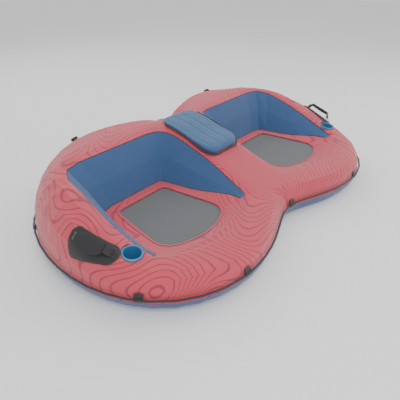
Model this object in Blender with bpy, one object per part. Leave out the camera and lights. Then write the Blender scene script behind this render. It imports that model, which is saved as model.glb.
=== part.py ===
"""Two-seat towable tube: inflated figure-eight hull, fabric covers, seats, cooler and deck gear.

Metres, +Z up, riders face -Y.  Every object is one separate piece.
"""
import math

import bmesh
import bpy
from mathutils import Matrix
from mathutils import Vector

# ---------------------------------------------------------------- hull plan
PLAN_MEAN = 0.945        # mean radius of the figure-eight outline
PLAN_SKEW = -0.104       # front fuller than the rear
PLAN_LOBES = -0.316      # two lobes
PLAN_THIRD = 0.014
PLAN_SQUARE = -0.067     # waist pinch
PLAN_SHIFT = 0.0698      # moves the outline so its box is centred
SEAM_Z = 0.079           # level of the joint between the two covers
CREST_FRONT = 0.205      # deck height at the front
CREST_RISE = 0.245       # extra deck height behind the riders
CREST_FROM = -0.60
CREST_SPAN = 0.95
SHOULDER = 0.17          # width of the rounded shoulder at mid length
SHOULDER_GROW = 0.198
SHOULDER_MIN = 0.07
BILGE = 0.10             # width of the rounded lower edge
SAMPLES = (9, 10, 13, 12)

# ---------------------------------------------------------------- seats
SEAT_X = 0.565
SEAT_Y = -0.12
FLOOR_Z = 0.155
FLOOR_TIP_RISE = 0.040
MESH_REAR = (0.185, 0.092, 0.030)
MESH_SIDE = (0.250, -0.335, 0.110)
MESH_NOSE = (0.0, -0.450, 0.400)
FOOT_REAR = (0.230, 0.166, 0.030)
FOOT_TIP = (0.352, -0.400, 0.090)
FOOT_NOSE = (0.0, -0.530, 0.500)
TOP_REAR = (0.385, 0.302, 0.120)
TOP_SIDE = (0.405, -0.150, 0.300)
TOP_TIP = (0.374, -0.415, 0.090)
TOP_NOSE = (0.0, -0.562, 0.500)
EDGE_DROP = 0.018        # rounding where the deck meets the backrest
WALL_BULGE = 0.012
DECK_STEPS = (0.0, 0.12, 0.30, 0.60, 0.82, 0.945, 1.0)

# ---------------------------------------------------------------- cloth and air
TOP_THICK = 0.0024
BASE_THICK = 0.0030
PANEL_GAP = 0.0036
CHAMBER_INSET = 0.017
CHAMBER_WALL = 0.0030
MESH_THICK = 0.0012
MESH_SAG = 0.010
HEM_WIDTH = 0.016

# ---------------------------------------------------------------- cup holders
CUP_AT = (1.005, -0.335)
CUP_LIP = 0.0525
CUP_BODY = 0.0460
CUP_BORE = 0.0425
CUP_DEPTH = 0.085
CUP_DRAIN = 0.006

# ---------------------------------------------------------------- handles
HANDLE_AT = (1.108, -0.190)
HANDLE_LENGTH = 0.215
HANDLE_WIDTH = 0.090
HANDLE_RISE = 0.042
HANDLE_PATCH = (0.275, 0.112)

# ---------------------------------------------------------------- grab line
LINE_RADIUS = 0.0062
LINE_Z = 0.106
LINE_OUT = 0.0085
KEEPER_LENGTH = 0.046

# ---------------------------------------------------------------- cooler
WELL_X = 0.112
WELL_FRONT = -0.055
WELL_REAR = 0.295
WELL_FLOOR = 0.150
WELL_WALL = 0.004
LID_X = 0.152
LID_FRONT = -0.105
LID_REAR = 0.345
LID_CORNER = 0.070
LID_LOW = 0.390
LID_HIGH = 0.462

# ---------------------------------------------------------------- valves and tow point
VALVE_AT = (0.640, 0.585)
VALVE_BORE = 0.0145
ZIP_REACH = 0.62
ZIP_LOW = 0.046
ZIP_HIGH = 0.068

SIDES = (("right", 1.0), ("left", -1.0))


# ================================================================ materials
def material(name, colour, rough, metal=0.0):
    mat = bpy.data.materials.new(name)
    mat.use_nodes = True
    shader = mat.node_tree.nodes.get("Principled BSDF")
    shader.inputs["Base Color"].default_value = (colour[0], colour[1], colour[2], 1.0)
    shader.inputs["Roughness"].default_value = rough
    shader.inputs["Metallic"].default_value = metal
    mat.diffuse_color = (colour[0], colour[1], colour[2], 1.0)
    return mat


def make_materials():
    return {
        "red": material("red_nylon", (0.62, 0.06, 0.09), 0.6),
        "blue": material("blue_nylon", (0.03, 0.10, 0.27), 0.6),
        "mesh": material("grey_mesh", (0.10, 0.105, 0.11), 0.8),
        "black": material("black_webbing", (0.02, 0.02, 0.022), 0.7),
        "foam": material("black_foam", (0.03, 0.03, 0.032), 0.85),
        "line": material("dark_line", (0.04, 0.025, 0.03), 0.7),
        "cup": material("light_blue_plastic", (0.06, 0.24, 0.46), 0.35),
        "pvc": material("clear_grey_pvc", (0.55, 0.57, 0.58), 0.4),
        "valve": material("valve_plastic", (0.06, 0.06, 0.065), 0.4),
        "liner": material("white_liner", (0.72, 0.73, 0.74), 0.5),
        "steel": material("bright_steel", (0.62, 0.63, 0.65), 0.25, 1.0),
    }


# ================================================================ mesh helpers
def finish(name, bm, mat, origin=(0.0, 0.0, 0.0), smooth=True):
    bmesh.ops.recalc_face_normals(bm, faces=bm.faces[:])
    at = Vector(origin)
    bmesh.ops.translate(bm, verts=bm.verts[:], vec=-at)
    mesh = bpy.data.meshes.new(name)
    bm.to_mesh(mesh)
    bm.free()
    for poly in mesh.polygons:
        poly.use_smooth = smooth
    obj = bpy.data.objects.new(name, mesh)
    obj.location = at
    bpy.context.scene.collection.objects.link(obj)
    mesh.materials.append(mat)
    return obj


def scratch(name, bm):
    bmesh.ops.triangulate(bm, faces=bm.faces[:])
    bmesh.ops.recalc_face_normals(bm, faces=bm.faces[:])
    mesh = bpy.data.meshes.new(name)
    bm.to_mesh(mesh)
    bm.free()
    obj = bpy.data.objects.new(name, mesh)
    bpy.context.scene.collection.objects.link(obj)
    return obj


def carve(obj, tool, mode="DIFFERENCE"):
    """Boolean on the object's own mesh; the tool is removed afterwards."""
    bpy.context.view_layer.update()
    mod = obj.modifiers.new("cut", "BOOLEAN")
    mod.operation = mode
    mod.solver = "EXACT"
    mod.object = tool
    graph = bpy.context.evaluated_depsgraph_get()
    result = bpy.data.meshes.new_from_object(obj.evaluated_get(graph))
    obj.modifiers.remove(mod)
    old = obj.data
    obj.data = result
    bpy.data.meshes.remove(old)
    bpy.data.objects.remove(tool)


def grid_faces(bm, rows, wrap_rows=False, wrap_cols=False):
    """Quads between rows of vertices; None marks a place without a vertex."""
    count = len(rows)
    for i in range(count if wrap_rows else count - 1):
        a = rows[i]
        b = rows[(i + 1) % count]
        width = len(a)
        for j in range(width if wrap_cols else width - 1):
            k = (j + 1) % width
            add_face(bm, (a[j], a[k], b[k], b[j]))


def add_face(bm, verts):
    ring = []
    for v in verts:
        if v is not None and v not in ring:
            ring.append(v)
    if len(ring) > 2:
        bm.faces.new(ring)


def tube(bm, path, radius, sides=8, closed=False, lay=(0.0, 0.0, 1.0)):
    """Round bar along a path of points."""
    rows = []
    count = len(path)
    for i, p in enumerate(path):
        before = path[(i - 1) % count] if closed or i > 0 else p
        after = path[(i + 1) % count] if closed or i < count - 1 else p
        along = (Vector(after) - Vector(before)).normalized()
        side = along.cross(Vector(lay))
        side.normalize()
        up = side.cross(along)
        ring = []
        for k in range(sides):
            t = 2.0 * math.pi * k / sides
            ring.append(bm.verts.new(Vector(p) + side * radius * math.cos(t) + up * radius * math.sin(t)))
        rows.append(ring)
    grid_faces(bm, rows, wrap_rows=closed, wrap_cols=True)
    if not closed:
        bm.faces.new(rows[0])
        bm.faces.new(rows[-1])


def lathe(bm, profile, sides, frame):
    """Turned solid; profile is (radius, height) from bottom centre to top centre."""
    rows = []
    for radius, height in profile:
        if radius < 1e-6:
            rows.append([bm.verts.new(frame @ Vector((0.0, 0.0, height)))] * sides)
            continue
        ring = []
        for k in range(sides):
            t = 2.0 * math.pi * k / sides
            ring.append(bm.verts.new(frame @ Vector((radius * math.cos(t), radius * math.sin(t), height))))
        rows.append(ring)
    closed = profile[0] != profile[-1] and profile[0][0] > 1e-6
    grid_faces(bm, rows, wrap_rows=closed, wrap_cols=True)


def slab(bm, outline, low, high, frame):
    """Flat plate from a closed outline."""
    bottom = [bm.verts.new(frame @ Vector((x, y, low))) for x, y in outline]
    top = [bm.verts.new(frame @ Vector((x, y, high))) for x, y in outline]
    grid_faces(bm, [bottom, top], wrap_cols=True)
    bm.faces.new(bottom)
    bm.faces.new(top)


def rounded(corners, steps=5):
    """Closed outline with an arc at every (x, y, radius) corner."""
    out = []
    count = len(corners)
    for i in range(count):
        p = Vector(corners[i][:2])
        a = (Vector(corners[i - 1][:2]) - p).normalized()
        b = (Vector(corners[(i + 1) % count][:2]) - p).normalized()
        half = 0.5 * a.angle(b)
        radius = corners[i][2]
        reach = radius / math.tan(half)
        centre = p + (a + b).normalized() * radius / math.sin(half)
        start = p + a * reach - centre
        sweep = start.angle_signed(p + b * reach - centre)
        for k in range(steps + 1):
            turn = -sweep * k / steps
            c, s = math.cos(turn), math.sin(turn)
            out.append((centre.x + start.x * c - start.y * s, centre.y + start.x * s + start.y * c))
    return out


def rectangle(half_x, y0, y1, radius, steps=4):
    return rounded([(half_x, y0, radius), (half_x, y1, radius), (-half_x, y1, radius), (-half_x, y0, radius)],
                   steps)


# ================================================================ hull shape
def plan_radius(theta):
    return (PLAN_MEAN + PLAN_SKEW * math.cos(theta) + PLAN_LOBES * math.cos(2 * theta)
            + PLAN_THIRD * math.cos(3 * theta) + PLAN_SQUARE * math.cos(4 * theta))


def plan_point(theta, out=0.0):
    r = plan_radius(theta)
    step = 1e-4
    rb = plan_radius(theta + step)
    p = Vector((r * math.sin(theta), r * math.cos(theta) + PLAN_SHIFT))
    q = Vector((rb * math.sin(theta + step), rb * math.cos(theta + step) + PLAN_SHIFT))
    along = (q - p).normalized()
    return p + Vector((-along.y, along.x)) * out


def inward(x, y):
    """Distance inside the outline, measured towards the hull centre."""
    v = y - PLAN_SHIFT
    return plan_radius(math.atan2(abs(x), v)) - math.hypot(x, v)


def smoothstep(t):
    t = min(1.0, max(0.0, t))
    return t * t * (3.0 - 2.0 * t)


def crest(y):
    return CREST_FRONT + CREST_RISE * smoothstep((y - CREST_FROM) / CREST_SPAN)


def deck_z(x, y):
    width = max(SHOULDER_MIN, SHOULDER + SHOULDER_GROW * y)
    d = max(0.0, inward(x, y))
    u = max(0.0, (width - d) / width)
    return SEAM_Z + (crest(y) - SEAM_Z) * math.sqrt(max(0.0, 1.0 - u * u))


def base_z(x, y):
    d = max(0.0, inward(x, y))
    u = max(0.0, (BILGE - d) / BILGE)
    return SEAM_Z * (1.0 - math.sqrt(max(0.0, 1.0 - u * u)))


def deck_frame(x, y, lift=0.0):
    """Frame on the deck: X along the outline, Z the outward normal."""
    e = 0.012
    dx = (deck_z(x + e, y) - deck_z(x - e, y)) / (2 * e)
    dy = (deck_z(x, y + e) - deck_z(x, y - e)) / (2 * e)
    normal = Vector((-dx, -dy, 1.0)).normalized()
    gx = inward(x + e, y) - inward(x - e, y)
    gy = inward(x, y + e) - inward(x, y - e)
    along = Vector((gy, -gx, 0.0))
    along = (along - normal * along.dot(normal)).normalized()
    across = normal.cross(along)
    at = Vector((x, y, deck_z(x, y))) + normal * lift
    frame = Matrix.Identity(4)
    for i in range(3):
        frame[i][0] = along[i]
        frame[i][1] = across[i]
        frame[i][2] = normal[i]
        frame[i][3] = at[i]
    return frame


def shield(*corners):
    """Mirrored seat outline from its corners, relative to the seat centre line."""
    right = [(x, y, r) for x, y, r in corners]
    left = [(-x, y, r) for x, y, r in reversed(corners) if x > 0.0]
    return rounded(right + left, 8)


def ray_hit(outline, phi):
    """Distance from the seat centre to an outline along one bearing."""
    ux, uy = math.cos(phi), math.sin(phi)
    best = None
    for i, (x0, y0) in enumerate(outline):
        x1, y1 = outline[(i + 1) % len(outline)]
        ax, ay = x0, y0 - SEAT_Y
        bx, by = x1 - x0, y1 - y0
        det = ux * by - uy * bx
        if abs(det) < 1e-12:
            continue
        t = (ax * by - ay * bx) / det
        s = (ax * uy - ay * ux) / det
        if t > 0.0 and -1e-9 <= s <= 1.0 + 1e-9 and (best is None or t > best):
            best = t
    return best


def hull_reach(phi):
    """Distance from the seat centre to the outline or to the middle plane."""
    ux, uy = math.cos(phi), math.sin(phi)
    low, high = 0.2, 1.4
    for _ in range(50):
        mid = 0.5 * (low + high)
        x, y = SEAT_X + mid * ux, SEAT_Y + mid * uy
        if x > 0.0 and inward(x, y) > 0.0:
            low = mid
        else:
            high = mid
    return low


def bearings():
    """Seat bearings: outer tip, outer corner, rear waist, front waist, and back round."""
    rear = plan_point(0.0)
    front = plan_point(math.pi)
    tip = math.atan2(FOOT_TIP[1] - SEAT_Y, FOOT_TIP[0]) + math.radians(1.0)
    corner = math.atan2(TOP_REAR[1] - SEAT_Y, TOP_REAR[0] - 0.02)
    waist_rear = math.atan2(rear.y - SEAT_Y, -SEAT_X)
    waist_front = math.atan2(front.y - SEAT_Y, -SEAT_X) + 2.0 * math.pi
    keys = (tip, corner, waist_rear, waist_front, tip + 2.0 * math.pi)
    out = []
    for k in range(4):
        for i in range(SAMPLES[k]):
            share = i / SAMPLES[k]
            if k == 2:
                y = 0.5 * (rear.y + front.y) + 0.5 * (rear.y - front.y) * math.cos(math.pi * share)
                out.append(math.atan2(y - SEAT_Y, -SEAT_X) % (2.0 * math.pi))
            else:
                share = 1.0 - (1.0 - share) ** 1.45 if k == 1 else share ** (1.25 if k == 3 else 1.0)
                out.append(keys[k] + (keys[k + 1] - keys[k]) * share)
    return out


class Ray:
    """Everything the hull needs to know along one seat bearing."""

    def __init__(self, phi, loops):
        self.phi = phi
        self.mesh = ray_hit(loops[0], phi)
        self.foot = ray_hit(loops[1], phi)
        self.top = max(ray_hit(loops[2], phi), self.foot + 0.012)
        self.reach = hull_reach(phi)

    def at(self, s):
        return SEAT_X + s * math.cos(self.phi), SEAT_Y + s * math.sin(self.phi)

    def foot_z(self):
        y = self.at(self.foot)[1]
        return FLOOR_Z + FLOOR_TIP_RISE * smoothstep((-0.02 - y) / 0.38)

    def border_z(self, s):
        """Seat border height, rising from the mesh to the foot of the backrest."""
        return FLOOR_Z + (self.foot_z() - FLOOR_Z) * (s - self.mesh) / (self.foot - self.mesh)

    def deck(self, t):
        """Deck point at fraction t from the backrest edge to the hull edge."""
        s = self.top + (self.reach - self.top) * t
        x, y = self.at(s)
        z = deck_z(x, y)
        if t < 0.28:
            z -= EDGE_DROP * (1.0 - t / 0.28) ** 2
        return x, y, z

    def wall(self, t, bulge=WALL_BULGE):
        """Backrest point at fraction t from the seat floor to the deck edge."""
        x, y = self.at(self.foot + (self.top - self.foot) * t)
        z0 = self.foot_z()
        z1 = self.deck(0.0)[2]
        rise = z1 - z0
        swell = bulge * 4.0 * t * (1.0 - t) * min(1.0, max(0.0, rise) / 0.2)
        return x - swell * math.cos(self.phi), y - swell * math.sin(self.phi), z0 + rise * t


def make_rays():
    loops = (shield(MESH_REAR, MESH_SIDE, MESH_NOSE), shield(FOOT_REAR, FOOT_TIP, FOOT_NOSE),
             shield(TOP_REAR, TOP_SIDE, TOP_TIP, TOP_NOSE))
    return [Ray(phi, loops) for phi in bearings()]


def backrest_range():
    return SAMPLES[0] + SAMPLES[1] + SAMPLES[2]


# ================================================================ covers
def point(bm, cache, side, x, y, z):
    if x < 1e-6:
        x = 0.0
    key = (round(side * x, 6), round(y, 6), round(z, 6))
    if key not in cache:
        cache[key] = bm.verts.new((side * x, y, z))
    return cache[key]


def thicken(bm, thick):
    bmesh.ops.recalc_face_normals(bm, faces=bm.faces[:])
    highest = max(bm.faces, key=lambda f: f.calc_center_median().z)
    if highest.normal.z < 0.0:
        bmesh.ops.reverse_faces(bm, faces=bm.faces[:])
    bmesh.ops.solidify(bm, geom=bm.faces[:], thickness=thick)


def top_cover(rays, mat):
    bm = bmesh.new()
    cache = {}
    last = backrest_range()
    for _, side in SIDES:
        border = []
        deck = []
        for ray in rays:
            x, y = ray.at(ray.mesh)
            foot = ray.wall(0.0)
            border.append([point(bm, cache, side, x, y, FLOOR_Z), point(bm, cache, side, *foot)])
            row = []
            for t in DECK_STEPS:
                p = ray.deck(t)
                row.append(point(bm, cache, side, p[0], p[1], max(p[2], SEAM_Z + 0.0008)))
            deck.append(row)
        grid_faces(bm, border, wrap_rows=True)
        grid_faces(bm, deck, wrap_rows=True)
        count = len(rays)
        for i in range(last, count):
            j = (i + 1) % count
            add_face(bm, (border[i][1], deck[i][0], deck[j][0], border[j][1]))
    thicken(bm, TOP_THICK)
    return finish("top_cover", bm, mat)


def bottom_cover(rays, mat):
    bm = bmesh.new()
    cache = {}
    steps = (1.0, 0.975, 0.88, 0.70)
    for _, side in SIDES:
        rows = []
        for ray in rays:
            inner = ray.foot - 0.014
            row = []
            for t in steps:
                x, y = ray.at(inner + (ray.reach - inner) * t)
                row.append(point(bm, cache, side, x, y, min(base_z(x, y), SEAM_Z - 0.0008)))
            zf = ray.foot_z()
            marks = ((inner + 0.025, 0.0), (inner, 0.025), (inner, zf - 0.030),
                     (inner - 0.012, ray.border_z(inner - 0.012) - 0.0125),
                     (ray.mesh + 0.003, FLOOR_Z - 0.0125))
            for s, z in marks:
                x, y = ray.at(s)
                row.append(point(bm, cache, side, x, y, z))
            rows.append(row)
        grid_faces(bm, rows, wrap_rows=True)
    bmesh.ops.recalc_face_normals(bm, faces=bm.faces[:])
    lowest = min(bm.faces, key=lambda f: f.calc_center_median().z)
    if lowest.normal.z > 0.0:
        bmesh.ops.reverse_faces(bm, faces=bm.faces[:])
    bmesh.ops.solidify(bm, geom=bm.faces[:], thickness=BASE_THICK)
    return finish("bottom_cover", bm, mat)


def backrest(name, side, rays, mat):
    bm = bmesh.new()
    rows = []
    for i in range(backrest_range() + 1):
        ray = rays[i % len(rays)]
        height = max(0.02, ray.deck(0.0)[2] - ray.foot_z())
        gap = PANEL_GAP / height
        row = []
        for t in (gap, 0.5, 1.0 - gap):
            x, y, z = ray.wall(t)
            row.append(bm.verts.new((side * x, y, z)))
        rows.append(row)
    for row, other in ((rows[0], rows[1]), (rows[-1], rows[-2])):
        for v, w in zip(row, other):
            v.co += (w.co - v.co).normalized() * 0.0015
    grid_faces(bm, rows)
    thicken(bm, TOP_THICK)
    return finish(name, bm, mat)


# ================================================================ seats
def seat_mesh(name, side, rays, mat):
    bm = bmesh.new()
    rows = []
    for ray in rays:
        edge = ray.mesh + 0.020
        row = []
        for t in (1.0, 0.91, 0.45):
            x, y = ray.at(edge * t)
            dip = MESH_SAG * (1.0 - smoothstep(t / 0.8)) if t < 0.8 else 0.0
            rise = max(0.0, ray.border_z(edge * t) - FLOOR_Z)
            row.append(bm.verts.new((side * x, y, FLOOR_Z - 0.0060 - dip + rise)))
        rows.append(row)
    grid_faces(bm, rows, wrap_rows=True)
    bm.faces.new([row[-1] for row in rows])
    thicken(bm, MESH_THICK)
    return finish(name, bm, mat)


def seat_hem(name, side, rays, mat):
    """Flat binding sewn round the edge of the mesh, on the seat border."""
    bm = bmesh.new()
    rows = []
    for ray in rays:
        row = []
        for s, z in ((0.002, 0.0022), (HEM_WIDTH, 0.0022), (HEM_WIDTH, 0.0042), (0.002, 0.0042)):
            x, y = ray.at(ray.mesh + s)
            row.append(bm.verts.new((side * x, y, ray.border_z(ray.mesh + s) + z)))
        rows.append(row)
    grid_faces(bm, rows, wrap_rows=True, wrap_cols=True)
    return finish(name, bm, mat)


# ================================================================ air chambers
def chamber_section(ray):
    """Hull section along one bearing as (distance, height), from the seat foot over the deck and back below."""
    section = [(ray.foot, ray.foot_z())]
    span = ray.reach - ray.top
    for t in (0.14, 0.42, 0.68, min(0.90, 1.0 - 0.036 / span)):
        section.append((ray.top + span * t, ray.deck(t)[2]))
    s = ray.reach - 0.004
    x, y = ray.at(s)
    section.append((s, deck_z(x, y)))
    section.append((s, base_z(x, y)))
    for t in (0.88, 0.0):
        s = ray.foot + (ray.reach - ray.foot) * t
        x, y = ray.at(s)
        section.append((s, base_z(x, y)))
    return section


def shrink(section, inset):
    """Closed outline moved inwards, sides kept parallel."""
    result = []
    count = len(section)
    for i in range(count):
        p = Vector(section[i])
        a = (p - Vector(section[i - 1])).normalized()
        b = (Vector(section[(i + 1) % count]) - p).normalized()
        na, nb = Vector((a.y, -a.x)), Vector((b.y, -b.x))
        n = (na + nb).normalized()
        result.append(p + n * inset / max(0.45, n.dot(na)))
    return result


def chamber_solid(side, rays, inset):
    """Closed ring inside the covers, pulled in by the inset."""
    bm = bmesh.new()
    rows = []
    for ray in rays:
        row = []
        for p in shrink(chamber_section(ray), inset):
            x, y = ray.at(p.x)
            row.append(bm.verts.new((side * x, y, p.y)))
        rows.append(row)
    grid_faces(bm, rows, wrap_rows=True, wrap_cols=True)
    return scratch("chamber_body", bm)


def cup_frame(side):
    frame = deck_frame(CUP_AT[0], CUP_AT[1])
    tilt = Vector((frame[0][2], frame[1][2], frame[2][2] * 2.2)).normalized()
    at = Vector((frame[0][3], frame[1][3], frame[2][3] - 0.004))
    if side < 0.0:
        tilt.x, at.x = -tilt.x, -at.x
    return Matrix.Translation(at) @ Vector((0.0, 0.0, 1.0)).rotation_difference(tilt).to_matrix().to_4x4()


def valve_frame(side):
    frame = deck_frame(VALVE_AT[0], VALVE_AT[1])
    normal = Vector((side * frame[0][2], frame[1][2], frame[2][2]))
    at = Vector((side * frame[0][3], frame[1][3], frame[2][3]))
    return Matrix.Translation(at) @ Vector((0.0, 0.0, 1.0)).rotation_difference(normal).to_matrix().to_4x4()


def cylinder(name, frame, radius, low, high, sides=24):
    bm = bmesh.new()
    lathe(bm, ((0.0, low), (radius, low), (radius, high), (0.0, high)), sides, frame)
    return scratch(name, bm)


def well_tool(grow):
    bm = bmesh.new()
    outline = rectangle(WELL_X + grow, WELL_FRONT - grow, WELL_REAR + grow, 0.030 + grow)
    slab(bm, outline, WELL_FLOOR - grow, 0.70, Matrix.Identity(4))
    return scratch("well_tool", bm)


def air_chamber(name, side, rays, mat):
    outer = chamber_solid(side, rays, CHAMBER_INSET)
    inner = chamber_solid(side, rays, CHAMBER_INSET + CHAMBER_WALL)
    for body, extra in ((outer, 0.0), (inner, CHAMBER_WALL)):
        reach = CUP_DEPTH + 0.004 + extra
        carve(body, cylinder("pocket", cup_frame(side), CUP_BODY + 0.003 + extra, -reach, 0.1))
        carve(body, cylinder("throat", cup_frame(side), CUP_LIP + 0.003 + extra, -0.016 - extra, 0.1))
        carve(body, well_tool(0.010 + extra))
    carve(outer, inner)
    carve(outer, cylinder("bore", valve_frame(side), VALVE_BORE + 0.0012, -0.035, 0.05))
    bm = bmesh.new()
    bm.from_mesh(outer.data)
    bpy.data.objects.remove(outer)
    keep_largest(bm)
    return finish(name, bm, mat)


def keep_largest(bm):
    """Drop slivers left by a cut, keeping the one main body."""
    bm.verts.ensure_lookup_table()
    seen = set()
    groups = []
    for start in bm.verts:
        if start in seen:
            continue
        stack = [start]
        group = []
        seen.add(start)
        while stack:
            v = stack.pop()
            group.append(v)
            for edge in v.link_edges:
                w = edge.other_vert(v)
                if w not in seen:
                    seen.add(w)
                    stack.append(w)
        groups.append(group)
    groups.sort(key=len)
    for group in groups[:-1]:
        bmesh.ops.delete(bm, geom=group, context="VERTS")


# ================================================================ cup holders and valves
def cup_holder(name, side, mat):
    bm = bmesh.new()
    profile = ((CUP_DRAIN, -CUP_DEPTH), (CUP_BODY, -CUP_DEPTH), (CUP_BODY, -0.013), (CUP_LIP, -0.009),
               (CUP_LIP, 0.004), (CUP_LIP - 0.003, 0.0065), (CUP_BORE + 0.002, 0.0065), (CUP_BORE, 0.004),
               (CUP_BORE - 0.002, -CUP_DEPTH + 0.004), (CUP_DRAIN, -CUP_DEPTH + 0.003))
    lathe(bm, profile, 26, cup_frame(side))
    return finish(name, bm, mat)


def valve_parts(word, side, mats):
    frame = valve_frame(side)
    at = frame.translation
    bm = bmesh.new()
    profile = ((0.0085, -0.020), (VALVE_BORE, -0.020), (VALVE_BORE, 0.0012), (0.030, 0.0012), (0.030, 0.0030),
               (0.018, 0.0045), (0.018, 0.0100), (0.0125, 0.0100), (0.0125, -0.012), (0.0085, -0.012))
    lathe(bm, profile, 24, frame)
    base = finish("valve_base_" + word, bm, mats["valve"])
    bm = bmesh.new()
    profile = ((0.004, -0.0115), (0.0120, -0.0115), (0.0120, 0.0095), (0.0095, 0.0095), (0.0095, -0.006),
               (0.004, -0.006))
    lathe(bm, profile, 20, frame)
    insert = finish("valve_insert_" + word, bm, mats["pvc"], at)
    bm = bmesh.new()
    profile = ((0.0, 0.0120), (0.0188, 0.0120), (0.0188, 0.0055), (0.0222, 0.0055), (0.0222, 0.0150),
               (0.0200, 0.0170), (0.0, 0.0170))
    lathe(bm, profile, 24, frame)
    cap = finish("valve_cap_" + word, bm, mats["valve"], at)
    return [base, insert, cap]


# ================================================================ handles
def handle_frame(side):
    frame = deck_frame(HANDLE_AT[0], HANDLE_AT[1], 0.0)
    if side < 0.0:
        mirror = Matrix.Scale(-1.0, 4, Vector((1.0, 0.0, 0.0)))
        frame = mirror @ frame
    return frame


def strip(bm, frame, path, width, thick):
    """Flat strap along an XZ path in the frame, square to Y, with rounded long edges."""
    rows = []
    count = len(path)
    for i, (x, z) in enumerate(path):
        x0, z0 = path[max(0, i - 1)]
        x1, z1 = path[min(count - 1, i + 1)]
        n = Vector((-(z1 - z0), x1 - x0)).normalized()
        w = width(x)
        ring = []
        h = 0.5 * thick
        for y, k in ((-w, 0.0), (-w + h, h), (w - h, h), (w, 0.0), (w - h, -h), (-w + h, -h)):
            ring.append(bm.verts.new(frame @ Vector((x + n.x * k, y, z + n.y * k))))
        rows.append(ring)
    grid_faces(bm, rows, wrap_cols=True)
    bm.faces.new(rows[0])
    bm.faces.new(rows[-1])


def handle_patch(name, side, mat):
    """Bean-shaped base patch that follows the deck."""
    bm = bmesh.new()
    frame = deck_frame(HANDLE_AT[0], HANDLE_AT[1])
    half_l, half_w = 0.5 * HANDLE_PATCH[0], 0.5 * HANDLE_PATCH[1]
    rows = []
    for j in range(7):
        v = math.sin(0.5 * math.pi * (-1.0 + j / 3.0))
        row = []
        for i in range(9):
            u = -1.0 + i / 4.0
            bend = 0.010 * (1.0 - u * u)
            x = u * (half_l - half_w * (1.0 - math.sqrt(max(0.0, 1.0 - (0.96 * v) ** 2))))
            y = v * half_w - bend
            p = frame @ Vector((x, y, 0.0))
            row.append(bm.verts.new((side * p.x, p.y, deck_z(p.x, p.y) + 0.0030)))
        rows.append(row)
    grid_faces(bm, rows)
    bmesh.ops.recalc_face_normals(bm, faces=bm.faces[:])
    if sum(f.normal.z for f in bm.faces) > 0.0:
        bmesh.ops.reverse_faces(bm, faces=bm.faces[:])
    bmesh.ops.solidify(bm, geom=bm.faces[:], thickness=0.0026)
    return finish(name, bm, mat)


def end_drop():
    """How far the curved deck falls away under the two ends of the strap."""
    frame = deck_frame(HANDLE_AT[0], HANDLE_AT[1])
    inverse = frame.inverted()
    p = frame @ Vector((0.5 * HANDLE_LENGTH, 0.0, 0.0))
    q = frame @ Vector((-0.5 * HANDLE_LENGTH, 0.0, 0.0))
    a = inverse @ Vector((p.x, p.y, deck_z(p.x, p.y)))
    b = inverse @ Vector((q.x, q.y, deck_z(q.x, q.y)))
    return a.z, b.z


def handle_strap(name, side, mat):
    bm = bmesh.new()
    frame = handle_frame(side)
    high, low = end_drop()
    half = 0.5 * HANDLE_LENGTH
    lift = 0.0142
    path = [(-half - 0.012, low + lift), (-half + 0.004, low + lift), (-half + 0.016, HANDLE_RISE - 0.008)]
    path += [(-half + 0.030, HANDLE_RISE), (half - 0.030, HANDLE_RISE), (half - 0.016, HANDLE_RISE - 0.008)]
    path += [(half - 0.004, high + lift), (half + 0.012, high + lift)]
    strip(bm, frame, path, lambda x: 0.019, 0.0032)
    return finish(name, bm, mat)


def handle_grip(name, side, mat):
    """Padded sleeve round the middle of the strap."""
    bm = bmesh.new()
    frame = handle_frame(side)
    half = 0.5 * HANDLE_LENGTH - 0.034
    rows = []
    for k in range(9):
        x = half * (-1.0 + k / 4.0)
        e = max(0.55, math.sqrt(1.0 - (0.88 * x / half) ** 2))
        w = 0.5 * HANDLE_WIDTH * e
        bend = 0.008 * (1.0 - (x / half) ** 2)
        outer = []
        for y, z in ((-w, 0.0), (-0.86 * w, 0.0075), (-0.4 * w, 0.0110), (0.4 * w, 0.0110), (0.86 * w, 0.0075),
                     (w, 0.0), (0.86 * w, -0.0065), (0.4 * w, -0.0075), (-0.4 * w, -0.0075), (-0.86 * w, -0.0065)):
            outer.append(bm.verts.new(frame @ Vector((x, y - bend, HANDLE_RISE + z))))
        rows.append(outer)
    grid_faces(bm, rows, wrap_cols=True)
    slot = []
    for x in (-half, half):
        ring = []
        for y, z in ((-0.0196, -0.0021), (0.0196, -0.0021), (0.0196, 0.0021), (-0.0196, 0.0021)):
            ring.append(bm.verts.new(frame @ Vector((x, y, HANDLE_RISE + z))))
        slot.append(ring)
    grid_faces(bm, slot, wrap_cols=True)
    for ring, hole in ((rows[0], slot[0]), (rows[-1], slot[1])):
        edges = [bm.edges.get((loop[i], loop[(i + 1) % len(loop)])) for loop in (ring, hole)
                 for i in range(len(loop))]
        bmesh.ops.triangle_fill(bm, use_beauty=True, edges=edges)
    return finish(name, bm, mat)


# ================================================================ grab line
def outline_loop(rays):
    """Hull edge corners once round, the right half then the left half."""
    last = SAMPLES[0] + SAMPLES[1]
    half = []
    count = len(rays)
    start = last
    order = [i % count for i in range(start, start - count, -1)]
    for i in order:
        x, y = rays[i].at(rays[i].reach)
        if x > 1e-6:
            half.append(Vector((x, y)))
    rear = plan_point(0.0)
    front = plan_point(math.pi)
    half = [p for p in half if p.x > 0.004]
    loop = [Vector((0.0, rear.y))] + half + [Vector((0.0, front.y))]
    loop += [Vector((-p.x, p.y)) for p in reversed(half)]
    return loop


def push_out(loop, out):
    """Same loop moved outwards, keeping its sides parallel."""
    result = []
    count = len(loop)
    for i, p in enumerate(loop):
        a = (p - loop[i - 1]).normalized()
        b = (loop[(i + 1) % count] - p).normalized()
        na, nb = Vector((-a.y, a.x)), Vector((-b.y, b.x))
        n = (na + nb).normalized()
        result.append(p + n * out / max(0.5, n.dot(na)))
    return result


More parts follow.
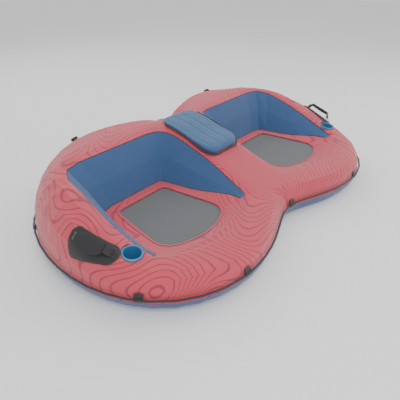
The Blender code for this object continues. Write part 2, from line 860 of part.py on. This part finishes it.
def grab_line(rays, mat):
    bm = bmesh.new()
    loop = push_out(outline_loop(rays), LINE_OUT)
    tube(bm, [(p.x, p.y, LINE_Z) for p in loop], LINE_RADIUS, 7, closed=True)
    return finish("grab_line", bm, mat)


def loop_spot(loop, x_sign, y_target, want_x):
    """Side of the loop nearest to a wanted place: returns its middle and direction."""
    best = None
    count = len(loop)
    for i in range(count):
        a, b = loop[i], loop[(i + 1) % count]
        m = (a + b) * 0.5
        gap = (m.x - x_sign * want_x) ** 2 + (m.y - y_target) ** 2
        if best is None or gap < best[0]:
            best = (gap, m, (b - a).normalized())
    return best[1], best[2]


def line_keeper(name, at, along, mat):
    """Webbing saddle stitched over the grab line."""
    bm = bmesh.new()
    out = Vector((-along.y, along.x))
    inner = LINE_RADIUS + 0.0009
    outer = inner + 0.0024
    section = []
    for k in range(7):
        t = math.radians(102.0 - 34.0 * k)
        section.append((LINE_OUT + outer * math.cos(t), LINE_Z + outer * math.sin(t)))
    section.append((0.0034, LINE_Z - outer - 0.008))
    section.append((0.0012, LINE_Z - outer - 0.008))
    section.append((0.0012, LINE_Z - inner - 0.002))
    for k in range(7):
        t = math.radians(-102.0 + 34.0 * k)
        section.append((LINE_OUT + inner * math.cos(t), LINE_Z + inner * math.sin(t)))
    section.append((0.0012, LINE_Z + inner + 0.002))
    section.append((-0.0022, LINE_Z + outer + 0.022))
    section.append((0.0002, LINE_Z + outer + 0.022))
    rows = []
    for d in (-0.5, -0.38, 0.38, 0.5):
        trim = 0.80 if abs(d) > 0.4 else 1.0
        ring = []
        for o, z in section:
            zz = LINE_Z + (z - LINE_Z) * (trim if abs(z - LINE_Z) > outer + 0.001 else 1.0)
            p = at + along * KEEPER_LENGTH * d + out * o
            ring.append(bm.verts.new((p.x, p.y, zz)))
        rows.append(ring)
    grid_faces(bm, rows, wrap_cols=True)
    bm.faces.new(rows[0])
    bm.faces.new(rows[-1])
    return finish(name, bm, mat)


# ================================================================ cooler
def sloped(x, y, above):
    return (x, y, crest(y) + above)


def ring_row(bm, outline, above):
    return [bm.verts.new(sloped(x, y, above)) for x, y in outline]


def level_row(bm, outline, z):
    return [bm.verts.new((x, y, z)) for x, y in outline]


def well_outline(grow, radius):
    parts = 5
    straight = WELL_REAR - WELL_FRONT - 0.060
    base = rectangle(WELL_X, WELL_FRONT, WELL_REAR, 0.030)
    outline = []
    for i, (x0, y0) in enumerate(base):
        x1, y1 = base[(i + 1) % len(base)]
        cuts = parts if abs(y1 - y0) > 0.9 * straight else 1
        outline += [(x0 + (x1 - x0) * k / cuts, y0 + (y1 - y0) * k / cuts) for k in range(cuts)]
    mid = 0.5 * (WELL_FRONT + WELL_REAR)
    half = 0.5 * (WELL_REAR - WELL_FRONT)
    return [(x * (WELL_X + grow) / WELL_X, mid + (y - mid) * (half + grow) / half) for x, y in outline]


def cooler_liner(mat):
    bm = bmesh.new()
    wall = well_outline(0.0, 0.030)
    flange = well_outline(0.018, 0.050)
    bore = well_outline(-WELL_WALL, 0.026)
    rows = [level_row(bm, wall, WELL_FLOOR), ring_row(bm, wall, 0.0012), ring_row(bm, flange, 0.0012),
            ring_row(bm, flange, 0.0034), ring_row(bm, bore, 0.0034), level_row(bm, bore, WELL_FLOOR + 0.005)]
    grid_faces(bm, rows, wrap_cols=True)
    bm.faces.new(rows[0])
    bm.faces.new(rows[-1])
    return finish("cooler_liner", bm, mat)


def lid_half_width(y):
    """Half width of the round-cornered lid at a station."""
    near = min(y - LID_FRONT, LID_REAR - y)
    if near >= LID_CORNER:
        return LID_X
    return LID_X - LID_CORNER + math.sqrt(max(0.0, LID_CORNER ** 2 - (LID_CORNER - near) ** 2))


def lid_top(y):
    t = (y - LID_FRONT) / (LID_REAR - LID_FRONT)
    end = min(1.0, (y - LID_FRONT) / 0.05, (LID_REAR - y) / 0.05)
    puff = math.sqrt(max(0.0, 1.0 - (1.0 - end) ** 2))
    high = LID_LOW + (LID_HIGH - LID_LOW) * t
    low = crest(y) + 0.006
    return low + max(0.014, (high - low) * (0.45 + 0.55 * puff))


def cooler_lid(mat):
    """Padded lid, thick in front and thinning to the rear fold."""
    bm = bmesh.new()
    rows = []
    length = LID_REAR - LID_FRONT
    for k in range(14):
        y = LID_FRONT + length * 0.5 * (1.0 - math.cos(math.pi * (0.6 + 11.8 * k / 13.0) / 13.0))
        w = lid_half_width(y)
        low = crest(y) + 0.006
        high = lid_top(y)
        row = []
        for u, share in ((-0.96, 0.0), (0.0, 0.0), (0.96, 0.0), (1.0, 0.40), (0.93, 0.80), (0.70, 0.97),
                         (0.0, 1.0), (-0.70, 0.97), (-0.93, 0.80), (-1.0, 0.40)):
            row.append(bm.verts.new((u * w, y, low + (high - low) * share)))
        rows.append(row)
    grid_faces(bm, rows, wrap_cols=True)
    bm.faces.new(rows[0])
    bm.faces.new(rows[-1])
    return finish("cooler_lid", bm, mat, (0.0, LID_REAR, crest(LID_REAR) + 0.012))


def lid_outline(shrink, steps=6):
    return rectangle(LID_X - shrink, LID_FRONT + shrink, LID_REAR - shrink, max(0.02, LID_CORNER - shrink),
                     steps)


def lid_path(out):
    """Right, front and left sides of the lid, pushed outwards."""
    right = []
    for k in range(5):
        right.append((LID_X + out, LID_REAR - LID_CORNER - (LID_REAR - LID_FRONT - 2 * LID_CORNER) * k / 4.0))
    for k in range(1, 5):
        t = math.radians(22.5 * k)
        right.append((LID_X - LID_CORNER + (LID_CORNER + out) * math.cos(t),
                      LID_FRONT + LID_CORNER - (LID_CORNER + out) * math.sin(t)))
    return right + [(-x, y) for x, y in reversed(right)]


def lid_zip(mat):
    """Zip tape round three sides of the lid."""
    bm = bmesh.new()
    path = [sloped(x, y, 0.0085) for x, y in lid_path(0.0065)]
    tube(bm, path, 0.0050, 8)
    return finish("cooler_zip", bm, mat)


def zip_slider(name, at, mat, size=1.0):
    bm = bmesh.new()
    frame = Matrix.Translation(Vector(at))
    outline = rounded([(0.009 * size, -0.005 * size, 0.003 * size), (0.009 * size, 0.005 * size, 0.003 * size),
                       (-0.009 * size, 0.005 * size, 0.003 * size),
                       (-0.009 * size, -0.005 * size, 0.003 * size)], 3)
    slab(bm, outline, 0.0, 0.0035 * size, frame)
    return finish(name, bm, mat, at)


def zip_pull(name, at, mat, length=0.034):
    """Pull tab hanging forward from its slider."""
    bm = bmesh.new()
    frame = Matrix.Translation(Vector(at))
    outline = rounded([(0.0045, 0.002, 0.0019), (-0.0045, 0.002, 0.0019), (-0.0060, -length, 0.004),
                       (0.0060, -length, 0.004)], 3)
    slab(bm, outline, 0.0, 0.0022, frame)
    return finish(name, bm, mat, at)


# ================================================================ rear zip and tow point
def side_y(x, z):
    """Where the rear slope of the deck is at a given level."""
    low, high = 0.30, 0.80
    for _ in range(40):
        mid = 0.5 * (low + high)
        if inward(x, mid) > 0.0 and deck_z(x, mid) > z:
            low = mid
        else:
            high = mid
    return low


def tow_patch(mat):
    """Webbing patch on the rear waist, level with the rear grab line."""
    bm = bmesh.new()
    rows = []
    for z in (0.150, 0.178, 0.206, 0.234):
        row = []
        for k in range(7):
            x = -0.066 + 0.022 * k
            row.append(bm.verts.new((x, side_y(x, z) + 0.0070, z)))
        rows.append(row)
    grid_faces(bm, rows)
    bmesh.ops.recalc_face_normals(bm, faces=bm.faces[:])
    if sum(f.normal.y for f in bm.faces) > 0.0:
        bmesh.ops.reverse_faces(bm, faces=bm.faces[:])
    bmesh.ops.solidify(bm, geom=bm.faces[:], thickness=0.003)
    return finish("tow_patch", bm, mat)


def tow_anchor():
    """Centre of the bar that carries the tow ring."""
    return Vector((0.0, side_y(0.0, 0.192) + 0.032, 0.192))


def tow_loop(mat):
    """Folded webbing that holds the tow ring on the patch."""
    at = tow_anchor()
    bm = bmesh.new()
    outer = [(0.0085, 0.0), (0.006, 0.0085), (-0.006, 0.0095), (-0.0135, 0.018), (-0.0150, 0.016),
             (-0.0150, -0.016), (-0.0135, -0.018), (-0.006, -0.0095), (0.006, -0.0085)]
    rows = []
    for x in (-0.019, 0.019):
        rows.append([bm.verts.new((x, at.y + y, at.z + z)) for y, z in outer])
    grid_faces(bm, rows, wrap_cols=True)
    bm.faces.new(rows[0])
    bm.faces.new(rows[-1])
    loop = finish("tow_loop", bm, mat)
    frame = Matrix.Translation(at) @ Matrix.Rotation(math.pi / 2, 4, "Y")
    carve(loop, cylinder("eye", frame, 0.0054, -0.05, 0.05, 16))
    return loop


def tow_ring(mat):
    """Welded D-ring, straight bar in the loop, bow hanging down."""
    at = tow_anchor()
    bm = bmesh.new()
    path = [(-0.027, 0.0), (-0.014, 0.0), (0.0, 0.0), (0.014, 0.0), (0.027, 0.0), (0.032, -0.006)]
    for k in range(7):
        t = math.pi * (0.03 + 0.94 * k / 6.0)
        path.append((0.032 * math.cos(t), -0.018 - 0.026 * math.sin(t)))
    path.append((-0.032, -0.006))
    tube(bm, [(at.x + x, at.y, at.z + z) for x, z in path], 0.0040, 8, closed=True,
         lay=(0.0, 1.0, 0.0))
    return finish("tow_ring", bm, mat, at)


def cover_zip(rays, mat):
    """Zip tape across the rear of the hull, just under the joint between the covers."""
    bm = bmesh.new()
    loop = outline_loop(rays)
    inner = push_out(loop, 0.0012)
    outer = push_out(loop, 0.0036)
    count = len(loop)
    reach = [i for i in range(count) if loop[i].y > 0.0 and abs(loop[i].x) < ZIP_REACH]
    order = sorted(reach, key=lambda i: loop[i].x)
    rows = []
    for i in order:
        a, b = inner[i], outer[i]
        rows.append([bm.verts.new((a.x, a.y, ZIP_LOW)), bm.verts.new((b.x, b.y, ZIP_LOW)),
                     bm.verts.new((b.x, b.y, ZIP_HIGH)), bm.verts.new((a.x, a.y, ZIP_HIGH))])
    grid_faces(bm, rows, wrap_cols=True)
    bm.faces.new(rows[0])
    bm.faces.new(rows[-1])
    return finish("cover_zip", bm, mat)


def cover_slider(rays, mats):
    """Slider and pull at the left end of the rear zip."""
    loop = outline_loop(rays)
    m, along = loop_spot(loop, -1.0, 0.70, 0.45)
    if along.x < 0.0:
        along = -along
    out = Vector((-along.y, along.x))
    if out.y < 0.0:
        out = -out
    at = m + out * 0.0040
    z = 0.5 * (ZIP_LOW + ZIP_HIGH)
    frame = Matrix(((along.x, 0.0, out.x, at.x), (along.y, 0.0, out.y, at.y), (0.0, 1.0, 0.0, z),
                    (0.0, 0.0, 0.0, 1.0)))
    bm = bmesh.new()
    slab(bm, rounded([(0.010, -0.006, 0.003), (0.010, 0.006, 0.003), (-0.010, 0.006, 0.003),
                      (-0.010, -0.006, 0.003)], 3), 0.0, 0.004, frame)
    slider = finish("cover_slider", bm, mats["steel"], (at.x, at.y, z))
    pin = frame @ Vector((0.0, 0.0, 0.0065))
    bm = bmesh.new()
    slab(bm, rounded([(0.0045, 0.0, 0.0019), (-0.0045, 0.0, 0.0019), (-0.0060, -0.034, 0.004),
                      (0.0060, -0.034, 0.004)], 3), 0.0050, 0.0072, frame)
    pull = finish("cover_pull", bm, mats["black"], pin)
    return slider, pull


def main():
    for obj in list(bpy.data.objects):
        bpy.data.objects.remove(obj, do_unlink=True)
    mats = make_materials()
    rays = make_rays()
    cover = top_cover(rays, mats["red"])
    for _, side in SIDES:
        carve(cover, cylinder("cup_hole", cup_frame(side), CUP_LIP + 0.0014, -0.06, 0.06, 26))
        carve(cover, cylinder("valve_hole", valve_frame(side), VALVE_BORE + 0.0010, -0.02, 0.03, 24))
    bm = bmesh.new()
    slab(bm, rectangle(WELL_X + 0.0012, WELL_FRONT - 0.0012, WELL_REAR + 0.0012, 0.031), 0.2, 0.6,
         Matrix.Identity(4))
    carve(cover, scratch("well_hole", bm))
    bottom_cover(rays, mats["blue"])
    for word, side in SIDES:
        backrest("backrest_panel_" + word, side, rays, mats["blue"])
        seat_mesh("seat_mesh_" + word, side, rays, mats["mesh"])
        seat_hem("seat_hem_" + word, side, rays, mats["red"])
        air_chamber("air_chamber_" + word, side, rays, mats["pvc"])
        cup_holder("cup_holder_" + word, side, mats["cup"])
        valve_parts(word, side, mats)
        handle_patch("handle_patch_" + word, side, mats["black"])
        handle_strap("handle_strap_" + word, side, mats["black"])
        handle_grip("handle_grip_" + word, side, mats["foam"])
    grab_line(rays, mats["line"])
    loop = outline_loop(rays)
    spots = (("front_waist", 1.0, -0.56, 0.0), ("front_right", 1.0, -0.70, 0.62), ("front_left", -1.0, -0.70, 0.62),
             ("side_right", 1.0, -0.41, 1.09), ("side_left", -1.0, -0.41, 1.09), ("back_right", 1.0, 0.38, 1.09),
             ("back_left", -1.0, 0.38, 1.09), ("rear_right", 1.0, 0.70, 0.62), ("rear_left", -1.0, 0.70, 0.62),
             ("rear_waist", 1.0, 0.56, 0.0))
    for word, sx, y, x in spots:
        m, d = loop_spot(loop, sx, y, x)
        line_keeper("line_keeper_" + word, m, d, mats["black"])
    cooler_liner(mats["liner"])
    cooler_lid(mats["blue"])
    lid_zip(mats["black"])
    cover_zip(rays, mats["black"])
    cover_slider(rays, mats)
    tow_patch(mats["black"])
    tow_loop(mats["black"])
    tow_ring(mats["steel"])
    at = sloped(0.060, LID_FRONT - 0.0065, 0.0145)
    zip_slider("cooler_slider", at, mats["steel"])
    zip_pull("cooler_pull", (at[0], at[1] - 0.002, at[2] + 0.0045), mats["black"])


main()
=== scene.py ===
"""Looks of the towable tube: fabric covers, mesh seats, padded lid, line, handles and fittings."""
import math

import bpy
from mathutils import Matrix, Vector


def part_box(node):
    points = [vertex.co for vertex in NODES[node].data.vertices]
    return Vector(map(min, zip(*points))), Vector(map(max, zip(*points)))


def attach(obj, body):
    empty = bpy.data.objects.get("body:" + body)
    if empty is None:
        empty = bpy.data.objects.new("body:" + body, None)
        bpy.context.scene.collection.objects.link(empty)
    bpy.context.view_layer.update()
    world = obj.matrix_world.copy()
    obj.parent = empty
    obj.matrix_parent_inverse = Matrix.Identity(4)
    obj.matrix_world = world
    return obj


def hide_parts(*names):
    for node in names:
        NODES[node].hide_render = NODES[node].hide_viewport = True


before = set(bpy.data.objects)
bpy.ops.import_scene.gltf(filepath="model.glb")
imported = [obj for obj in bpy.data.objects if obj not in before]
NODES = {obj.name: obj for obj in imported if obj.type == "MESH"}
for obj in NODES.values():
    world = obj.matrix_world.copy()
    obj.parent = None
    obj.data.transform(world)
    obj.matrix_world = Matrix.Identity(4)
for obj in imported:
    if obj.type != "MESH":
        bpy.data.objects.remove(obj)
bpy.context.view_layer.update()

RED = (0.62, 0.055, 0.085)
MAROON = (0.30, 0.018, 0.055)
BLUE = (0.026, 0.092, 0.245)
LID_BLUE = (0.022, 0.105, 0.255)
MESH_GREY = (0.098, 0.104, 0.108)
BLACK = (0.016, 0.016, 0.018)
CUP_BLUE = (0.050, 0.205, 0.400)
LINE_DARK = (0.030, 0.020, 0.026)
LINER_WHITE = (0.70, 0.71, 0.72)

CONTOUR_HILLS = 2.6         # scale of the broad noise that the contour lines follow
CONTOUR_LEVELS = 26.0       # how many lines cross one unit of height
CONTOUR_WIDTH = 0.10        # share of a level that the printed line takes
CONTOUR_INK = 0.85
CENTRE_PULL = 0.55          # packs the lines closer towards the middle of the hull
CENTRE_REACH = 0.35

LID_VOXEL = 0.005
LID_GROOVE = 0.003          # depth of the sewn channels in the lid
LID_GROOVE_WIDTH = 0.10     # half width of a channel, where 1 is the spacing of the channels

FLOOR_HALF = 12.0
FLOOR_Z = -0.001
WORLD_STRENGTH = 0.85
LAMPS = (("key", (-2.5, -3.0, 4.0), 130.0), ("fill", (3.0, -1.5, 3.0), 50.0), ("rear", (0.5, 3.5, 3.5), 60.0))
LAMP_SIZE = 3.0

CAMERA_TURN = math.radians(-49.6)
CAMERA_RISE = math.radians(32.5)
CAMERA_DISTANCE = 2.88
CAMERA_TARGET = Vector((-0.024, 0.0928, -0.116))
LENS = 35.8


# ---------------------------------------------------------------- materials
class Shader:
    """Small helper that builds one Principled material node by node."""

    def __init__(self, name, rough, sheen=0.0, metal=0.0, coat=0.0):
        self.mat = bpy.data.materials.new(name)
        self.mat.use_nodes = True
        self.tree = self.mat.node_tree
        self.bsdf = self.tree.nodes["Principled BSDF"]
        self.bsdf.inputs["Roughness"].default_value = rough
        self.bsdf.inputs["Sheen Weight"].default_value = sheen
        self.bsdf.inputs["Metallic"].default_value = metal
        self.bsdf.inputs["Coat Weight"].default_value = coat
        self.place = self.tree.nodes.new("ShaderNodeTexCoord").outputs["Object"]

    def link(self, a, b):
        self.tree.links.new(a, b)

    def noise(self, scale, detail=2.0, place=None):
        node = self.tree.nodes.new("ShaderNodeTexNoise")
        node.inputs["Scale"].default_value = scale
        node.inputs["Detail"].default_value = detail
        self.link(place or self.place, node.inputs["Vector"])
        return node.outputs["Fac"]

    def math(self, kind, a, b=0.0):
        node = self.tree.nodes.new("ShaderNodeMath")
        node.operation = kind
        for socket, value in zip(node.inputs, (a, b)):
            if isinstance(value, (int, float)):
                socket.default_value = value
            else:
                self.link(value, socket)
        return node.outputs[0]

    def waves(self, scale, axis):
        node = self.tree.nodes.new("ShaderNodeTexWave")
        node.bands_direction = axis
        node.inputs["Scale"].default_value = scale
        self.link(self.place, node.inputs["Vector"])
        return node.outputs["Fac"]

    def mix(self, factor, a, b):
        node = self.tree.nodes.new("ShaderNodeMix")
        node.data_type = "RGBA"
        self.link(factor, node.inputs[0])
        for socket, value in ((node.inputs[6], a), (node.inputs[7], b)):
            if isinstance(value, tuple):
                socket.default_value = (*value, 1.0)
            else:
                self.link(value, socket)
        return node.outputs[2]

    def color(self, value):
        self.link(value, self.bsdf.inputs["Base Color"])

    def bump(self, height, strength, distance):
        node = self.tree.nodes.new("ShaderNodeBump")
        node.inputs["Strength"].default_value = strength
        node.inputs["Distance"].default_value = distance
        self.link(height, node.inputs["Height"])
        self.link(node.outputs["Normal"], self.bsdf.inputs["Normal"])


def darker(color, share):
    return tuple(c * share for c in color)


def weave_height(shader, scale):
    """Crossed threads, small enough to read as woven cloth."""
    return shader.math("MULTIPLY", shader.waves(scale, "X"), shader.waves(scale, "Y"))


def fabric(name, color, weave=260.0, shade=0.86, rough=0.62, wrinkle=0.004):
    shader = Shader(name, rough, sheen=0.25)
    tone = shader.noise(7.0, 3.0)
    shader.color(shader.mix(tone, darker(color, shade), color))
    folds = shader.math("MULTIPLY", shader.noise(16.0, 2.0), 3.0)
    shader.bump(shader.math("ADD", weave_height(shader, weave), folds), 0.35, wrinkle)
    return shader.mat


def contour_fabric():
    """Red cloth printed with thin map-like contour lines, closest along the middle."""
    shader = Shader("red_contour_nylon", 0.58, sheen=0.25)
    hills = shader.noise(CONTOUR_HILLS, 0.0)
    parts = shader.tree.nodes.new("ShaderNodeSeparateXYZ")
    shader.link(shader.place, parts.inputs[0])
    sideways = shader.math("ABSOLUTE", parts.outputs[0])
    centre = shader.math("DIVIDE", CENTRE_PULL, shader.math("ADD", CENTRE_REACH, sideways))
    level = shader.math("MULTIPLY", shader.math("ADD", hills, centre), CONTOUR_LEVELS)
    saw = shader.math("ABSOLUTE", shader.math("SUBTRACT", shader.math("FRACT", level), 0.5))
    line = shader.math("LESS_THAN", saw, CONTOUR_WIDTH)
    tone = shader.noise(6.0, 3.0)
    cloth = shader.mix(tone, darker(RED, 0.88), RED)
    shader.color(shader.mix(shader.math("MULTIPLY", line, CONTOUR_INK), cloth, MAROON))
    folds = shader.math("MULTIPLY", shader.noise(12.0, 2.0), 3.0)
    shader.bump(shader.math("ADD", weave_height(shader, 240.0), folds), 0.30, 0.004)
    return shader.mat


def open_mesh():
    """Knitted drain mesh: darker holes in a regular net."""
    shader = Shader("grey_drain_mesh", 0.7, sheen=0.2)
    holes = weave_height(shader, 42.0)
    shader.color(shader.mix(holes, darker(MESH_GREY, 1.25), darker(MESH_GREY, 0.62)))
    shader.bump(holes, 0.6, 0.002)
    return shader.mat


def plastic(name, color, rough, coat=0.0):
    shader = Shader(name, rough, coat=coat)
    tone = shader.noise(30.0, 3.0)
    shader.color(shader.mix(tone, darker(color, 0.88), color))
    shader.bump(shader.noise(240.0, 2.0), 0.12, 0.001)
    return shader.mat


def steel():
    shader = Shader("bright_steel", 0.28, metal=1.0)
    tone = shader.noise(60.0, 2.0)
    shader.color(shader.mix(tone, (0.48, 0.49, 0.51), (0.66, 0.67, 0.69)))
    shader.bump(shader.noise(320.0, 2.0), 0.08, 0.0005)
    return shader.mat


def dress(mat, *prefixes):
    """Gives a material to every CAD node whose name starts with one of the words."""
    for name, obj in NODES.items():
        if name.startswith(prefixes):
            obj.data.materials.clear()
            obj.data.materials.append(mat)


dress(contour_fabric(), "top_cover")
dress(fabric("plain_red_nylon", RED), "seat_hem")
dress(fabric("blue_nylon", BLUE), "bottom_cover", "backrest_panel")
dress(fabric("lid_blue_nylon", LID_BLUE), "cooler_lid")
dress(open_mesh(), "seat_mesh")
dress(plastic("cup_plastic", CUP_BLUE, 0.35, 0.2), "cup_holder")
dress(plastic("valve_plastic", BLACK, 0.42), "valve_base", "valve_cap")
dress(plastic("soft_pvc", (0.50, 0.52, 0.53), 0.40), "valve_insert", "air_chamber")
dress(plastic("liner_sheet", LINER_WHITE, 0.45), "cooler_liner")
dress(plastic("grip_foam", darker(BLACK, 1.6), 0.85), "handle_grip")
dress(fabric("black_webbing", BLACK, weave=420.0, shade=0.7, wrinkle=0.001), "handle_patch", "handle_strap",
      "line_keeper", "tow_patch", "tow_loop", "cooler_zip", "cooler_pull", "cover_zip", "cover_pull")
dress(fabric("braided_line", LINE_DARK, weave=520.0, shade=0.7, wrinkle=0.001), "grab_line")
dress(steel(), "cooler_slider", "cover_slider", "tow_ring")


# ---------------------------------------------------------------- padded lid
def soft_lid():
    """The cooler lid as a rounded pad with shallow sewn channels along it."""
    source = NODES["cooler_lid"]
    low, high = (Vector(corner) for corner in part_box("cooler_lid"))
    pad = bpy.data.objects.new("lid_pad", source.data.copy())
    bpy.context.collection.objects.link(pad)
    pad.matrix_world = source.matrix_world.copy()
    remesh = pad.modifiers.new("remesh", "REMESH")
    remesh.mode = "VOXEL"
    remesh.voxel_size = LID_VOXEL
    smooth = pad.modifiers.new("smooth", "SMOOTH")
    smooth.factor = 0.6
    smooth.iterations = 10
    shape = bpy.data.meshes.new_from_object(pad.evaluated_get(bpy.context.evaluated_depsgraph_get()))
    pad.modifiers.clear()
    pad.data = shape
    half = 0.5 * (high.x - low.x)
    for vertex in shape.vertices:
        share = vertex.co.x / half
        groove = max(0.0, 1.0 - abs((share * 2.0) % 1.0 - 0.5) / LID_GROOVE_WIDTH)
        if vertex.normal.z > 0.5:
            vertex.co.z -= LID_GROOVE * groove
    shape.materials.clear()
    shape.materials.append(fabric("lid_pad_nylon", LID_BLUE))
    for face in shape.polygons:
        face.use_smooth = True
    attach(pad, "cooler_lid")
    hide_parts("cooler_lid")


soft_lid()


# ---------------------------------------------------------------- studio
def studio():
    mesh = bpy.data.meshes.new("floor")
    corners = [(x * FLOOR_HALF, y * FLOOR_HALF, FLOOR_Z) for x, y in ((-1, -1), (1, -1), (1, 1), (-1, 1))]
    mesh.from_pydata(corners, [], [(0, 1, 2, 3)])
    floor = bpy.data.objects.new("floor", mesh)
    bpy.context.collection.objects.link(floor)
    shader = Shader("floor_pale", 0.9)
    shader.color(shader.mix(shader.noise(0.6), (0.90, 0.90, 0.90), (0.93, 0.93, 0.93)))
    mesh.materials.append(shader.mat)
    world = bpy.data.worlds.new("studio")
    world.use_nodes = True
    world.node_tree.nodes["Background"].inputs[0].default_value = (1.0, 1.0, 1.0, 1.0)
    world.node_tree.nodes["Background"].inputs[1].default_value = WORLD_STRENGTH
    bpy.context.scene.world = world
    for name, place, power in LAMPS:
        light = bpy.data.lights.new(name, "AREA")
        light.energy = power
        light.size = LAMP_SIZE
        lamp = bpy.data.objects.new(name, light)
        lamp.location = place
        lamp.rotation_euler = (-Vector(place)).to_track_quat("-Z", "Y").to_euler()
        bpy.context.collection.objects.link(lamp)


def camera():
    level = math.cos(CAMERA_RISE)
    back = Vector((math.sin(CAMERA_TURN) * level, -math.cos(CAMERA_TURN) * level, math.sin(CAMERA_RISE)))
    lens = bpy.data.cameras.new("camera")
    lens.lens = LENS
    lens.sensor_width = 36.0
    eye = bpy.data.objects.new("camera", lens)
    eye.location = CAMERA_TARGET + back * CAMERA_DISTANCE
    eye.rotation_euler = back.to_track_quat("Z", "Y").to_euler()
    bpy.context.collection.objects.link(eye)
    bpy.context.scene.camera = eye


studio()
camera()
